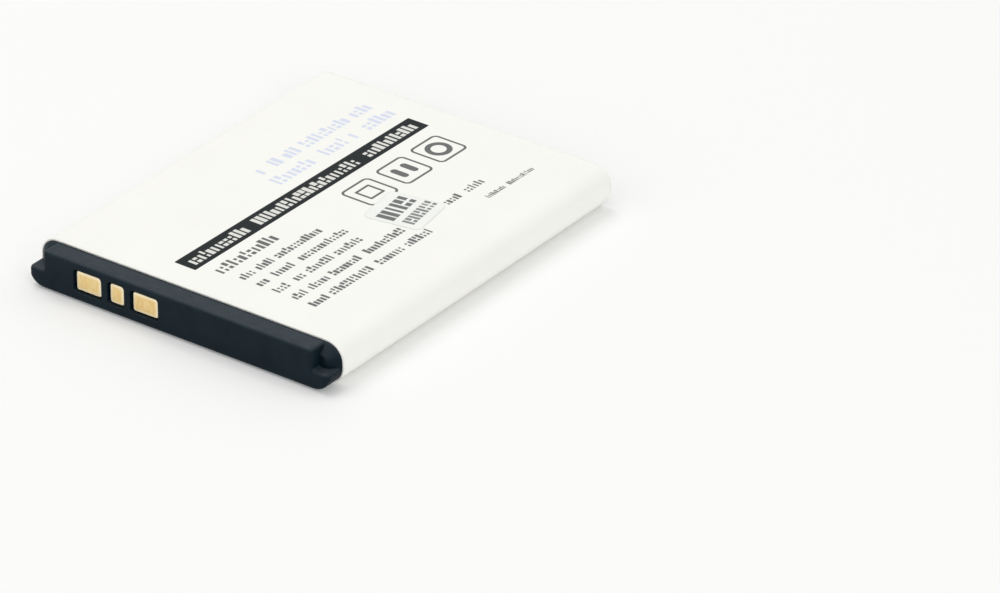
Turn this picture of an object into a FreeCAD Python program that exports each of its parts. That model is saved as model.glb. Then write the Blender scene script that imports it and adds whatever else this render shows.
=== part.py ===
# Removable mobile phone battery: a flat aluminium cell in a printed film sleeve, closed by a
# moulded contact cap at one end and a plain cap at the other. Millimetres.
#
# The pack lies on its plain back with the printed face up. X runs across the pack, the contact
# end faces -Y and the plain end faces +Y. The origin is on the ground under the pack's middle.

import FreeCAD, Part
import math
import os

Vector = FreeCAD.Vector
ALONG_X = Vector(1, 0, 0)
ALONG_Y = Vector(0, 1, 0)
ALONG_Z = Vector(0, 0, 1)

# Pack
pack_width = 38.0
pack_thickness = 4.6
label_length = 45.0
nose_reach = 2.4
edge_radius = 2.0
least_side_flat = 0.2
film_thickness = 0.15
film_clearance = 0.05
seam_gap = 0.1

# Contact cap
nose_inset = 0.15
nose_wall = 0.55
nose_rim_radius = 0.35
notch_width = 2.1
notch_floor_height = 2.15
notch_root_radius = 0.3
notch_corner_radius = 0.4
lip_corner_radius = 0.7
groove_width = 0.25
shoulder_reach = 1.1
shoulder_bevel = 1.0
shoulder_edge_radius = 0.3
skirt_wall = 0.5
skirt_clearance = 0.1
end_block_length = 1.4
pocket_corner_radius = 0.3

# Contact windows and the contact blocks behind them
window_wall = 0.7
window_height = 2.6
window_lift = 0.1
window_corner_radius = 0.45
wide_window = 3.6
narrow_window = 2.2
window_rib = 0.7
first_window_setback = 3.9
contact_recess = 0.25
contact_clearance = 0.2
contact_corner_radius = 0.3
contact_edge_radius = 0.15

# Blind locating holes in the back of the cap
hole_radius = 0.5
hole_depth = 0.8
hole_setback = 0.75
hole_inset = 3.25
hole_wall = 0.15

# Protection board and what holds it in the cap
board_thickness = 0.6
board_setback = 0.4
board_clearance = 0.1
board_corner_radius = 0.3
standoff_width = 0.8
standoff_count = 3
latch_reach = 0.35
latch_length = 0.6
latch_width = 1.4
latch_clearance = 0.05

# Parts on the board
chip_length = 1.6
chip_width = 0.8
chip_height = 0.45
chip_terminal_length = 0.3
chip_terminal_step = 0.03
sense_resistor_length = 2.0
sense_resistor_width = 1.25
ic_body_length = 2.9
ic_body_width = 1.6
ic_height = 1.1
ic_leg_count = 3
ic_leg_pitch = 0.95
mosfet_body_length = 2.8
mosfet_body_width = 3.4
mosfet_height = 0.95
mosfet_leg_count = 4
mosfet_leg_pitch = 0.65
leg_reach = 0.6
leg_shoulder = 0.2
leg_width = 0.32
leg_thickness = 0.13
body_standoff = 0.08
body_chamfer = 0.09

# Cell
component_room = 2.7
lid_recess = 0.2
can_rim_width = 0.35
can_base_radius = 0.4
gasket_length = 5.5
gasket_width = 2.4
gasket_thickness = 0.35
gasket_corner_radius = 0.6
rivet_length = 4.0
rivet_width = 1.7
rivet_thickness = 0.3
rivet_corner_radius = 0.4
rivet_shank_radius = 0.5
plug_radius = 0.8
plug_height = 0.2
plug_bevel = 0.1

# Strips, lid insulator and thermal cut-off
tab_thickness = 0.15
tab_width = 2.2
tab_margin = 0.6
tab_bend_share = 0.9
board_foot_length = 1.6
lid_foot_length = 3.0
weld_overlap = 1.2
insulator_thickness = 0.1
insulator_width = 3.0
insulator_end_margin = 3.5
insulator_gap = 0.3
cutoff_length = 4.4
cutoff_width = 2.6
cutoff_cover = 0.1
cutoff_lead_length = 1.4
cutoff_corner_radius = 0.3

# End cap and its adhesive pad
end_recess = 0.1
end_plate = 0.7
end_rim_depth = 0.5
end_rim_width = 0.8
end_edge_radius = 0.15
end_clearance = 0.05
pad_clearance = 0.1

# Sticker on the printed face
sticker_width = 6.6
sticker_length = 6.1
sticker_thickness = 0.05
sticker_corner_radius = 0.8
sticker_x = 7.4
sticker_y = 4.05
sticker_turn = 8.5

# Cutting tools reach this far past the faces that they open
cut_past = 1.0

# How closely an edge's place and direction have to agree to be picked
same_place = 1e-4
parallel_share = 0.999

# Places along Y, worked out from the contact end to the plain end
nose_front = -(label_length + nose_reach) / 2
label_front = nose_front + nose_reach
label_back = label_front + label_length
shoulder_front = label_front - shoulder_reach
nose_back = label_front - groove_width
contact_front = nose_front + contact_recess
pocket_front = nose_front + window_wall
board_front = pocket_front + board_setback
board_back = board_front + board_thickness
lid_face = board_back + component_room
can_front = lid_face - lid_recess
skirt_back = can_front - skirt_clearance
end_face = label_back - end_recess
end_pocket_floor = end_face - end_plate
end_cap_front = end_pocket_floor - end_rim_depth
can_back = end_cap_front - end_clearance

# Places along Y in the stack on the lid
insulator_front = lid_face - insulator_thickness
gasket_front = lid_face - gasket_thickness
rivet_front = gasket_front - rivet_thickness
negative_tab_front = rivet_front - tab_thickness
cutoff_lead_front = negative_tab_front - tab_thickness
cutoff_front = cutoff_lead_front - cutoff_cover

# Places along Z
middle = pack_thickness / 2
sleeve_inset = film_thickness + film_clearance
pocket_height = pack_thickness - 2 * (nose_inset + nose_wall)
pocket_top = middle + pocket_height / 2
window_middle = middle + window_lift

# Places along X
nose_right = pack_width / 2 - notch_width
nose_left = -nose_right
pocket_left = nose_left + end_block_length
hole_right = pack_width / 2 - hole_inset
pocket_right = hole_right - hole_radius - hole_wall
board_left = pocket_left + board_clearance
board_right = pocket_right - board_clearance
positive_leg_x = board_left + tab_margin
negative_leg_x = board_right - tab_margin
cutoff_middle = (gasket_length / 2 + negative_leg_x) / 2
cutoff_lead_left = cutoff_middle - cutoff_length / 2 - cutoff_lead_length
cutoff_lead_right = cutoff_middle + cutoff_length / 2 + cutoff_lead_length


def block(x_start, x_end, y_start, y_end, z_start, z_end):
    """A plain block between two opposite corners."""
    corner = Vector(x_start, y_start, z_start)
    return Part.makeBox(x_end - x_start, y_end - y_start, z_end - z_start, corner)


def edges_along(shape, direction):
    """The straight edges of a shape that run along a direction."""
    found = []
    for edge in shape.Edges:
        if isinstance(edge.Curve, Part.Line):
            run = edge.tangentAt(edge.FirstParameter)
            if abs(run.dot(direction)) > parallel_share:
                found.append(edge)
    return found


def edges_near(edges, x=None, y=None, z=None):
    """The edges whose middle lies at the given places, each of which may be left open."""
    found = []
    for edge in edges:
        centre = edge.CenterOfMass
        pairs = ((x, centre.x), (y, centre.y), (z, centre.z))
        if all(wanted is None or abs(wanted - value) < same_place for wanted, value in pairs):
            found.append(edge)
    return found


def rounded_block(x_start, x_end, y_start, y_end, z_start, z_end, direction, radius):
    """A block whose four edges along one direction are rounded."""
    plain = block(x_start, x_end, y_start, y_end, z_start, z_end)
    return plain.makeFillet(radius, edges_along(plain, direction))


def centred_plate(x_middle, length, y_start, y_end, width, radius, z_middle=middle):
    """A small plate that faces along Y, with its four corners rounded."""
    return rounded_block(x_middle - length / 2, x_middle + length / 2, y_start, y_end,
                         z_middle - width / 2, z_middle + width / 2, ALONG_Y, radius)


def pack_outline(inset, y_place):
    """The pack's cross section as a closed outline: a rectangle with large rounded corners."""
    radius = min(edge_radius, middle - least_side_flat / 2) - inset
    corner_x = pack_width / 2 - inset - radius
    corner_z = middle - inset - radius
    corners = []
    for quarter, (side, level) in enumerate(((1, 1), (-1, 1), (-1, -1), (1, -1))):
        points = []
        for step in range(3):
            angle = math.radians(90 * quarter + 45 * step)
            x = side * corner_x + radius * math.cos(angle)
            z = middle + level * corner_z + radius * math.sin(angle)
            points.append(Vector(x, y_place, z))
        corners.append(points)
    edges = []
    for index, points in enumerate(corners):
        following = corners[(index + 1) % len(corners)]
        edges.append(Part.Arc(*points).toShape())
        edges.append(Part.makeLine(points[-1], following[0]))
    return Part.Wire(edges)


def pack_bar(inset, y_start, y_end):
    """A length of the pack's cross section, smaller by the inset all round."""
    face = Part.Face(pack_outline(inset, y_start))
    return face.extrude(Vector(0, y_end - y_start, 0))


def one_solid(shape):
    """The single solid that a union or a cut left behind, without needless seams."""
    return shape.removeSplitter().Solids[0]


def label_wrap():
    """Printed film wrapped round the pack, with a butt seam along the left side."""
    sleeve = pack_bar(0, label_front, label_back)
    sleeve = sleeve.cut(pack_bar(film_thickness, label_front - cut_past, label_back + cut_past))
    seam = block(-pack_width, -pack_width / 2 + edge_radius / 2, label_front - cut_past,
                 label_back + cut_past, middle - seam_gap / 2, middle + seam_gap / 2)
    return one_solid(sleeve.cut(seam))


def contact_windows():
    """Left and right end of each contact window, from the left: wide, narrow, wide."""
    windows = []
    left = nose_left + first_window_setback
    for width in (wide_window, narrow_window, wide_window):
        windows.append((left, left + width))
        left += width + window_rib
    return windows


def nose_form(x_start, x_end, top, corner_radius):
    """A block of the nose with rounded front corners and a rounded rim along its top."""
    form = block(x_start, x_end, nose_front, nose_back, 0, top)
    front_corners = edges_near(edges_along(form, ALONG_Z), y=nose_front)
    form = form.makeFillet(corner_radius, front_corners)
    back = edges_near(form.Edges, y=nose_back, z=top)
    rim = [edge for edge in edges_near(form.Edges, z=top) if not edge.isSame(back[0])]
    return form.makeFillet(nose_rim_radius, rim)


def cap_nose():
    """The part of the cap that stands out of the sleeve: a lip across the whole width, and above
    it a narrower crown that leaves a latch notch at each side."""
    reach = pack_width / 2 - nose_inset
    lip = nose_form(-reach, reach, notch_floor_height, lip_corner_radius)
    crown = nose_form(nose_left, nose_right, pack_thickness - nose_inset, notch_corner_radius)
    nose = pack_bar(nose_inset, nose_front, nose_back)
    nose = nose.makeFillet(nose_rim_radius, edges_near(nose.Edges, y=nose_front))
    nose = nose.common(lip.fuse(crown)).removeSplitter()
    roots = []
    for wall_x in (nose_left, nose_right):
        roots += edges_near(edges_along(nose, ALONG_Y), x=wall_x, z=notch_floor_height)
    return nose.makeFillet(notch_root_radius, roots)


def cap_skirt():
    """The skirt inside the sleeve, whose bevelled shoulder stands out of it behind the notches."""
    skirt = pack_bar(sleeve_inset, shoulder_front, skirt_back)
    skirt = skirt.makeChamfer(shoulder_bevel, edges_near(skirt.Edges, y=shoulder_front))
    bevel_edges = (edges_near(skirt.Edges, y=shoulder_front)
                   + edges_near(skirt.Edges, y=shoulder_front + shoulder_bevel))
    return skirt.makeFillet(shoulder_edge_radius, bevel_edges)


def cap_pockets():
    """The room for the board in the nose, and the wider room behind it in the skirt."""
    skirt_pocket_front = nose_back + nose_wall
    board_pocket = rounded_block(pocket_left, pocket_right, pocket_front,
                                 skirt_back, middle - pocket_height / 2,
                                 pocket_top, ALONG_Y, pocket_corner_radius)
    skirt_pocket = pack_bar(sleeve_inset + skirt_wall, skirt_pocket_front, skirt_back + cut_past)
    return board_pocket.fuse(skirt_pocket)


def standoffs():
    """Ribs inside the nose's front wall that the board rests on."""
    last_window_right = contact_windows()[-1][1]
    pitch = (pocket_right - last_window_right) / standoff_count
    places = [pocket_left + standoff_width]
    for index in range(standoff_count):
        places.append(last_window_right + (index + 0.5) * pitch)
    ribs = []
    for x in places:
        ribs.append(block(x - standoff_width / 2, x + standoff_width / 2, pocket_front, board_front,
                          middle - pocket_height / 2, pocket_top))
    return ribs


def board_latch(x_middle):
    """A wedge under the roof of the nose that snaps behind the board."""
    front = board_back + latch_clearance
    corners = [Vector(x_middle - latch_width / 2, front, pocket_top),
               Vector(x_middle - latch_width / 2, front, pocket_top - latch_reach),
               Vector(x_middle - latch_width / 2, front + latch_length, pocket_top)]
    wedge = Part.Face(Part.makePolygon(corners + corners[:1]))
    return wedge.extrude(Vector(latch_width, 0, 0))


def contact_cap(latch_places):
    """Moulded cap: nose and skirt in one, hollow, with windows and blind holes."""
    cap = cap_nose().fuse(cap_skirt()).removeSplitter()
    cap = cap.cut(cap_pockets())
    cap = cap.fuse(standoffs() + [board_latch(x) for x in latch_places])
    for left, right in contact_windows():
        window = rounded_block(left, right, nose_front - cut_past, board_front,
                               window_middle - window_height / 2,
                               window_middle + window_height / 2, ALONG_Y, window_corner_radius)
        cap = cap.cut(window)
    for side in (-1, 1):
        mouth = Vector(side * hole_right, nose_front + hole_setback, nose_inset - cut_past)
        cap = cap.cut(Part.makeCylinder(hole_radius, cut_past + hole_depth, mouth, ALONG_Z))
    return one_solid(cap)


def contact_block(left, right):
    """Gold-plated block soldered to the board, which stands in one window without touching it."""
    length = right - left - 2 * contact_clearance
    width = window_height - 2 * contact_clearance
    plate = centred_plate((left + right) / 2, length, contact_front, board_front, width,
                          contact_corner_radius, window_middle)
    front_edges = [edge for edge in plate.Edges if abs(edge.CenterOfMass.y - contact_front) < same_place]
    return plate.makeFillet(contact_edge_radius, front_edges)


def protection_board():
    """Narrow circuit board that stands on edge behind the contact blocks."""
    width = pocket_height - 2 * board_clearance
    return centred_plate((board_left + board_right) / 2, board_right - board_left, board_front,
                         board_back, width, board_corner_radius)


def board_row():
    """The middle of each part along the board, spread evenly between the two soldered strips."""
    mosfet_span = mosfet_body_width + 2 * leg_reach
    lengths = {"supply_capacitor": chip_length, "supply_resistor": chip_length,
               "protection_ic": ic_body_length, "mosfet_pair": mosfet_span,
               "sense_resistor": sense_resistor_length, "bypass_capacitor": chip_length,
               "identification_resistor": chip_length}
    row_start = positive_leg_x + board_foot_length
    row_end = negative_leg_x - board_foot_length
    gap = (row_end - row_start - sum(lengths.values())) / (len(lengths) + 1)
    places = {}
    cursor = row_start
    for name, length in lengths.items():
        cursor += gap
        places[name] = cursor + length / 2
        cursor += length
    return places


def chip(x_middle, length, width):
    """A chip resistor or capacitor: a small block with a terminal round each end."""
    body = block(x_middle - length / 2, x_middle + length / 2, board_back,
                 board_back + chip_height - chip_terminal_step, middle - width / 2 + chip_terminal_step,
                 middle + width / 2 - chip_terminal_step)
    pieces = []
    for side in (-1, 1):
        end = x_middle + side * length / 2
        inner = end - side * chip_terminal_length
        pieces.append(block(min(end, inner), max(end, inner), board_back, board_back + chip_height,
                            middle - width / 2, middle + width / 2))
    return one_solid(body.fuse(pieces))


def leg(x_middle, side, body_width, height):
    """One bent leg of a packaged part, from the body's side down to the board."""
    root = middle + side * (body_width / 2 - leg_thickness)
    knee = middle + side * (body_width / 2 + leg_shoulder)
    tip = middle + side * (body_width / 2 + leg_reach)
    foot = board_back + leg_thickness
    upper = board_back + height / 2 + leg_thickness / 2
    lower = upper - leg_thickness
    bend = side * leg_thickness
    profile = [(root, upper), (knee + bend, upper), (knee + 2 * bend, foot), (tip, foot),
               (tip, board_back), (knee + bend, board_back), (knee, lower), (root, lower)]
    points = [Vector(x_middle - leg_width / 2, y, z) for z, y in profile]
    return Part.Face(Part.makePolygon(points + points[:1])).extrude(Vector(leg_width, 0, 0))


def packaged_part(x_middle, length, width, height, leg_count, leg_pitch):
    """A moulded part with a row of legs on each long side, on the back of the board."""
    body = block(x_middle - length / 2, x_middle + length / 2, board_back + body_standoff,
                 board_back + height, middle - width / 2, middle + width / 2)
    top_edges = edges_near(body.Edges, y=board_back + height)
    body = body.makeChamfer(body_chamfer, top_edges)
    legs = []
    for index in range(leg_count):
        x = x_middle + (index - (leg_count - 1) / 2) * leg_pitch
        for side in (-1, 1):
            legs.append(leg(x, side, width, height))
    return one_solid(body.fuse(legs))


def board_parts(row):
    """Everything that is soldered to the back of the board."""
    mosfet_x = row["mosfet_pair"]
    mosfet = packaged_part(mosfet_x, mosfet_body_length, mosfet_body_width, mosfet_height,
                           mosfet_leg_count, mosfet_leg_pitch)
    mosfet.rotate(Vector(mosfet_x, 0, middle), ALONG_Y, 90)
    parts = {"mosfet_pair": mosfet}
    parts["protection_ic"] = packaged_part(row["protection_ic"], ic_body_length, ic_body_width,
                                           ic_height, ic_leg_count, ic_leg_pitch)
    parts["sense_resistor"] = chip(row["sense_resistor"], sense_resistor_length, sense_resistor_width)
    for name in ("supply_capacitor", "supply_resistor", "bypass_capacitor", "identification_resistor"):
        parts[name] = chip(row[name], chip_length, chip_width)
    return parts


def cell_can():
    """Sealed aluminium cell: rounded sides, rounded base and a lid set into the rim."""
    can = pack_bar(sleeve_inset, can_front, can_back)
    can = can.makeFillet(can_base_radius, edges_near(can.Edges, y=can_back))
    lid = pack_bar(sleeve_inset + can_rim_width, can_front - cut_past, lid_face)
    return one_solid(can.cut(lid))


def terminal_gasket():
    """Plastic washer that keeps the rivet off the lid."""
    gasket = centred_plate(0, gasket_length, gasket_front, lid_face, gasket_width,
                           gasket_corner_radius)
    hole = Part.makeCylinder(rivet_shank_radius, gasket_thickness + cut_past,
                             Vector(0, gasket_front - cut_past / 2, middle), ALONG_Y)
    return gasket.cut(hole)


def terminal_rivet():
    """Negative terminal: a flat head with a shank through the gasket."""
    head = centred_plate(0, rivet_length, rivet_front, gasket_front, rivet_width,
                         rivet_corner_radius)
    shank = Part.makeCylinder(rivet_shank_radius, gasket_thickness,
                              Vector(0, gasket_front, middle), ALONG_Y)
    return one_solid(head.fuse(shank))


def fill_hole_plug():
    """Plug over the filling hole, midway between the strip's foot and the gasket."""
    x = (positive_leg_x + lid_foot_length - gasket_length / 2) / 2
    plug = Part.makeCylinder(plug_radius, plug_height, Vector(x, lid_face, middle), -ALONG_Y)
    return plug.makeChamfer(plug_bevel, edges_near(plug.Edges, y=lid_face - plug_height))


def lid_insulator():
    """Thin sheet on the lid under the thermal cut-off."""
    start = gasket_length / 2 + insulator_gap
    end = pack_width / 2 - insulator_end_margin
    return block(start, end, insulator_front, lid_face, middle - insulator_width / 2,
                 middle + insulator_width / 2)


def strip_piece(x_one, x_two, y_start, y_end):
    """One flat length of a strip."""
    return block(min(x_one, x_two), max(x_one, x_two), y_start, y_end, middle - tab_width / 2,
                 middle + tab_width / 2)


def folded_strip(leg_x, inward, back_foot, back_foot_end):
    """A strip folded to a C: a foot on the board, a leg across the gap, a foot on the cell side."""
    front_foot = strip_piece(leg_x, leg_x + inward * board_foot_length, board_back,
                             board_back + tab_thickness)
    upright = strip_piece(leg_x, leg_x + inward * tab_thickness, board_back, back_foot)
    rear_foot = strip_piece(leg_x, back_foot_end, back_foot - tab_thickness, back_foot)
    strip = one_solid(front_foot.fuse([upright, rear_foot]))
    bends = edges_near(edges_along(strip, ALONG_Z), x=leg_x)
    return strip.makeFillet(tab_bend_share * tab_thickness, bends)


def negative_tab():
    """Strip from the rivet to the near lead of the thermal cut-off."""
    return strip_piece(-rivet_length / 2, cutoff_lead_left + weld_overlap, negative_tab_front,
                       rivet_front)


def thermal_cutoff():
    """Flat sealed block with a lead at each end, which opens the circuit when it gets hot."""
    body = centred_plate(cutoff_middle, cutoff_length, cutoff_front, insulator_front, cutoff_width,
                         cutoff_corner_radius)
    leads = strip_piece(cutoff_lead_left, cutoff_lead_right, cutoff_lead_front, negative_tab_front)
    return one_solid(body.fuse(leads))


def end_cap():
    """Moulded tray that closes the plain end, with a pocket for its adhesive pad."""
    tray = pack_bar(sleeve_inset, end_cap_front, end_face)
    tray = tray.makeFillet(end_edge_radius, edges_near(tray.Edges, y=end_face))
    pocket = pack_bar(sleeve_inset + end_rim_width, end_cap_front - cut_past, end_pocket_floor)
    return one_solid(tray.cut(pocket))


def end_adhesive_pad():
    """Adhesive pad between the cell's base and the floor of the end cap's pocket."""
    return pack_bar(sleeve_inset + end_rim_width + pad_clearance, can_back, end_pocket_floor)


def inspection_sticker():
    """Small sticker on the printed face, set a little askew by hand."""
    sticker = rounded_block(sticker_x - sticker_width / 2, sticker_x + sticker_width / 2,
                            sticker_y - sticker_length / 2, sticker_y + sticker_length / 2,
                            pack_thickness, pack_thickness + sticker_thickness, ALONG_Z,
                            sticker_corner_radius)
    sticker.rotate(Vector(sticker_x, sticker_y, 0), ALONG_Z, sticker_turn)
    return sticker


def battery():
    """Every piece of the battery by its name."""
    row = board_row()
    windows = contact_windows()
    pieces = {
        "label_wrap": label_wrap(),
        "contact_cap": contact_cap([row["supply_resistor"], row["bypass_capacitor"]]),
        "contact_positive": contact_block(*windows[0]),
        "contact_identification": contact_block(*windows[1]),
        "contact_negative": contact_block(*windows[2]),
        "protection_board": protection_board(),
        "cell_can": cell_can(),
        "terminal_gasket": terminal_gasket(),
        "terminal_rivet": terminal_rivet(),
        "fill_hole_plug": fill_hole_plug(),
        "lid_insulator": lid_insulator(),
        "positive_tab": folded_strip(positive_leg_x, 1, lid_face, positive_leg_x + lid_foot_length),
        "negative_tab": negative_tab(),
        "thermal_cutoff": thermal_cutoff(),
        "board_tab": folded_strip(negative_leg_x, -1, cutoff_lead_front,
                                  cutoff_lead_right - weld_overlap),
        "end_cap": end_cap(),
        "end_adhesive_pad": end_adhesive_pad(),
        "inspection_sticker": inspection_sticker(),
    }
    pieces.update(board_parts(row))
    return pieces


def main():
    os.makedirs("parts", exist_ok=True)
    for name, shape in battery().items():
        shape.exportStep("parts/" + name + ".step")
        print(name, round(shape.Volume, 3), "mm3", "valid" if shape.isValid() else "NOT VALID")


main()
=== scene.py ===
import math

import bpy
from mathutils import Matrix, Vector


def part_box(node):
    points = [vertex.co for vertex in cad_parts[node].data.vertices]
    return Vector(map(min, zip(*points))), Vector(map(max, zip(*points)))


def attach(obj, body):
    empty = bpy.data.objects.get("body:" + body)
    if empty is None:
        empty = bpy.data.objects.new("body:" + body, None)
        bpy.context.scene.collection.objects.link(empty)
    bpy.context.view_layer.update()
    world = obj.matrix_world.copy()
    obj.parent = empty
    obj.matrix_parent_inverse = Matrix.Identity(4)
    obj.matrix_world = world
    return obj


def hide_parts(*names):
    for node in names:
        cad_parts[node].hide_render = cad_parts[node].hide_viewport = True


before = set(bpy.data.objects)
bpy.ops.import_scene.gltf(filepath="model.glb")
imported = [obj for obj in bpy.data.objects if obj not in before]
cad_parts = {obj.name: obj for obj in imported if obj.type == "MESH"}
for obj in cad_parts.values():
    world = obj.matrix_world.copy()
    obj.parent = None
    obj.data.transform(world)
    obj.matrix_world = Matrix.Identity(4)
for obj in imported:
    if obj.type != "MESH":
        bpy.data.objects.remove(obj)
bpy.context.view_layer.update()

bl_info = {
    "name": "Phone battery",
    "version": (1, 0, 0),
    "blender": (4, 5, 0),
    "location": "3D View > Sidebar > Battery",
    "description": "Dresses a flat phone battery: film, contacts, caps, inner pieces and studio",
    "category": "Object",
}

MM = 0.001
TOLERANCE = 1e-7
SAME_PLACE = 0.01 * MM
FACING = 0.99
CONTACTS = {
    "positive_contact_plate": "contact_positive",
    "identification_contact_plate": "contact_identification",
    "negative_contact_plate": "contact_negative",
}
FILM_LOW, FILM_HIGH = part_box("label_wrap")
STICKER_LOW, STICKER_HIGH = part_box("inspection_sticker")


# Sizes and colours that a user may change

class BatterySizes(bpy.types.PropertyGroup):
    film_thickness: bpy.props.FloatProperty(
        name="Film Thickness", description="Thickness of the printed film",
        default=0.15 * MM, unit="LENGTH")
    film_edge_radius: bpy.props.FloatProperty(
        name="Film Edge Radius", description="Radius of the film round the pack's long sides",
        default=2.0 * MM, unit="LENGTH")
    film_seam_gap: bpy.props.FloatProperty(
        name="Film Seam Gap", description="Gap between the film's two edges on the left side",
        default=0.1 * MM, unit="LENGTH")
    film_ripple: bpy.props.FloatProperty(
        name="Film Ripple", description="How deep the film's slight ripples go",
        default=0.012 * MM, unit="LENGTH")
    film_dip: bpy.props.FloatProperty(
        name="Film Dip", description="How far the film sinks over joints of caps and cell",
        default=0.02 * MM, unit="LENGTH")
    skirt_joint: bpy.props.FloatProperty(
        name="Skirt Joint", description="Place along the pack where the contact cap meets the cell",
        default=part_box("cell_can")[0].y - 0.05 * MM, unit="LENGTH")
    end_joint: bpy.props.FloatProperty(
        name="End Joint", description="Place along the pack where the cell meets the plain cap",
        default=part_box("end_cap")[0].y, unit="LENGTH")
    contact_corner: bpy.props.FloatProperty(
        name="Contact Corner", description="Corner radius of the contact plates",
        default=0.3 * MM, unit="LENGTH")
    contact_roll: bpy.props.FloatProperty(
        name="Contact Roll", description="Rounding of the contact plates' front edges",
        default=0.16 * MM, unit="LENGTH")


class BatteryColours(bpy.types.PropertyGroup):
    film: bpy.props.FloatVectorProperty(
        name="Film", description="Bare printed film", subtype="COLOR",
        default=(0.962, 0.952, 0.903), min=0, max=1)
    dark_ink: bpy.props.FloatVectorProperty(
        name="Dark Ink", description="Ink of the long band", subtype="COLOR",
        default=(0.006, 0.010, 0.011), min=0, max=1)
    grey_ink: bpy.props.FloatVectorProperty(
        name="Grey Ink", description="Ink of the small rows and frames", subtype="COLOR",
        default=(0.060, 0.067, 0.067), min=0, max=1)
    pale_ink: bpy.props.FloatVectorProperty(
        name="Pale Ink", description="Pale blue ink of the two wide rows", subtype="COLOR",
        default=(0.67, 0.72, 0.87), min=0, max=1)
    plastic: bpy.props.FloatVectorProperty(
        name="Plastic", description="Moulded caps", subtype="COLOR",
        default=(0.0022, 0.0090, 0.0148), min=0, max=1)
    # Lighter colour of the caps' upward faces: painted light from above, partly thin dust.
    dust_and_top_light: bpy.props.FloatVectorProperty(
        name="Dust And Top Light", description="Thin dust on the caps' upward faces", subtype="COLOR",
        default=(0.033, 0.044, 0.053), min=0, max=1)
    gold: bpy.props.FloatVectorProperty(
        name="Gold", description="Plating of the contacts", subtype="COLOR",
        default=(0.90, 0.69, 0.33), min=0, max=1)
    sticker: bpy.props.FloatVectorProperty(
        name="Sticker", description="Bare sticker", subtype="COLOR",
        default=(0.925, 0.93, 0.895), min=0, max=1)


class BatteryStudio(bpy.types.PropertyGroup):
    focal_length: bpy.props.FloatProperty(
        name="Focal Length", description="Camera lens in millimetres", default=237.11,
        unit="CAMERA")
    azimuth: bpy.props.FloatProperty(
        name="Azimuth", description="Camera direction round the pack", subtype="ANGLE",
        default=math.radians(36.1179))
    elevation: bpy.props.FloatProperty(
        name="Elevation", description="Camera height above the horizon", subtype="ANGLE",
        default=math.radians(29.4625))
    roll: bpy.props.FloatProperty(
        name="Roll", description="Turn of the camera about its line of sight", subtype="ANGLE",
        default=math.radians(0.0745))
    distance: bpy.props.FloatProperty(
        name="Distance", description="Camera to its target", default=656.97 * MM, unit="LENGTH")
    target: bpy.props.FloatVectorProperty(
        name="Target", description="Point that the camera looks at", subtype="XYZ",
        default=(20.681 * MM, 2.154 * MM, 0), unit="LENGTH")
    sky_level: bpy.props.FloatProperty(
        name="Sky Level", description="Strength of the even light from all round", default=0.63)
    key_power: bpy.props.FloatProperty(
        name="Key Power", description="Power of the large lamp above the pack", default=2.2,
        unit="POWER")
    fill_power: bpy.props.FloatProperty(
        name="Fill Power", description="Power of the lamp beside the camera", default=1.0,
        unit="POWER")


# Modelling helpers

def deselect_all():
    if bpy.context.object and bpy.context.object.mode != "OBJECT":
        bpy.ops.object.mode_set(mode="OBJECT")
    bpy.ops.object.select_all(action="DESELECT")


def new_block(name, low, high):
    """A block between two corners, with its place in its mesh."""
    deselect_all()
    bpy.ops.mesh.primitive_cube_add(size=1, location=(low + high) / 2, scale=high - low)
    bpy.ops.object.transform_apply(location=True, rotation=True, scale=True)
    piece = bpy.context.object
    piece.name = name
    piece.data.name = name
    return piece


def pick(piece, kind, wanted):
    """Leaves a piece in edit mode with the chosen vertices, edges or faces selected."""
    if piece.mode != "OBJECT":
        bpy.ops.object.mode_set(mode="OBJECT")
    mesh = piece.data
    bpy.context.view_layer.objects.active = piece
    for parts in (mesh.vertices, mesh.edges, mesh.polygons):
        parts.foreach_set("select", [False] * len(parts))
    bpy.context.tool_settings.mesh_select_mode = (kind == "VERT", kind == "EDGE", kind == "FACE")
    parts, measures = {
        "VERT": (mesh.vertices, lambda part: (part.co,)),
        "EDGE": (mesh.edges, lambda part: [mesh.vertices[i].co for i in part.vertices]),
        "FACE": (mesh.polygons, lambda part: (part.center, part.normal))}[kind]
    chosen = [part for part in parts if wanted(*measures(part))]
    if not chosen:
        raise RuntimeError("nothing to select on " + piece.name)
    for part in chosen:
        part.select = True
    bpy.ops.object.mode_set(mode="EDIT")


def leave_edit():
    bpy.ops.object.mode_set(mode="OBJECT")


def runs_along(axis, least=0.0):
    """A test for edges that lie along one axis and are longer than a least length."""
    others = [i for i in range(3) if i != axis]

    def test(one, two):
        step = two - one
        return abs(step[axis]) > least and all(abs(step[i]) < TOLERANCE for i in others)
    return test


def cut_across(piece, place, normal, reach=None):
    """Adds a line of edges where a plane crosses a piece, or only its faces that a test takes."""
    pick(piece, "FACE", reach or (lambda centre, face_normal: True))
    bpy.ops.mesh.bisect(plane_co=place, plane_no=normal, threshold=TOLERANCE)
    leave_edit()


def apply_modifier(piece, kind, **settings):
    modifier = piece.modifiers.new(kind.title(), kind)
    for name, value in settings.items():
        setattr(modifier, name, value)
    bpy.context.view_layer.objects.active = piece
    bpy.ops.object.modifier_apply(modifier=modifier.name)


def smooth(piece, degrees):
    deselect_all()
    piece.select_set(True)
    bpy.context.view_layer.objects.active = piece
    bpy.ops.object.shade_smooth_by_angle(angle=math.radians(degrees))


def dress(piece, material):
    piece.data.materials.clear()
    piece.data.materials.append(material)


def finish_node(node, material):
    """Gives a CAD node its finish."""
    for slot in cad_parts[node].material_slots:
        slot.material = material


# Material helpers

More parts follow.
